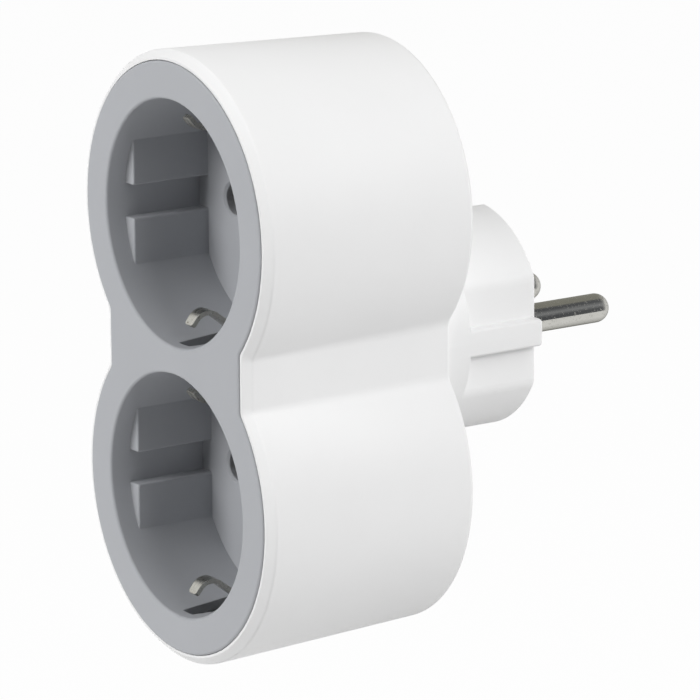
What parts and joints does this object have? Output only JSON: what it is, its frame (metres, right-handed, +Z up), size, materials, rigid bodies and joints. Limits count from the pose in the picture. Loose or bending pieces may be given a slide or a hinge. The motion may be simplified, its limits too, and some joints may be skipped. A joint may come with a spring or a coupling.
{
  "type": "multi socket adapter",
  "caption": "Plug-in mains adapter: white figure-eight housing with a plug at the back and a grey front with round earthed sockets one above the other.",
  "frame": {"origin": "middle of the plug's end face, halfway between the two pins", "axes": "+Y along the pins into the wall, +Z up along the figure eight, +X to the right seen from the front"},
  "size_m": [0.0546, 0.0775, 0.0986],
  "materials": {
    "white_plastic": "satin",
    "grey_plastic": "matte",
    "nickel_plated_brass": "polished",
    "nickel_plated_strip": "satin",
    "brass": "satin",
    "zinc_plated_steel": "satin"
  },
  "bodies": {
    "root": {"housing": "white_plastic", "front_insert": "grey_plastic", "line_pin": "nickel_plated_brass", "neutral_pin": "nickel_plated_brass", "line_bus": "brass", "neutral_bus": "brass", "upper_line_contact": "brass", "upper_neutral_contact": "brass", "lower_line_contact": "brass", "lower_neutral_contact": "brass", "upper_earth_bracket": "nickel_plated_strip", "lower_earth_bracket": "nickel_plated_strip", "plug_earth_strap": "nickel_plated_strip", "earth_rivets": "nickel_plated_strip", "case_screws": "zinc_plated_steel"}
  },
  "joints": []
}
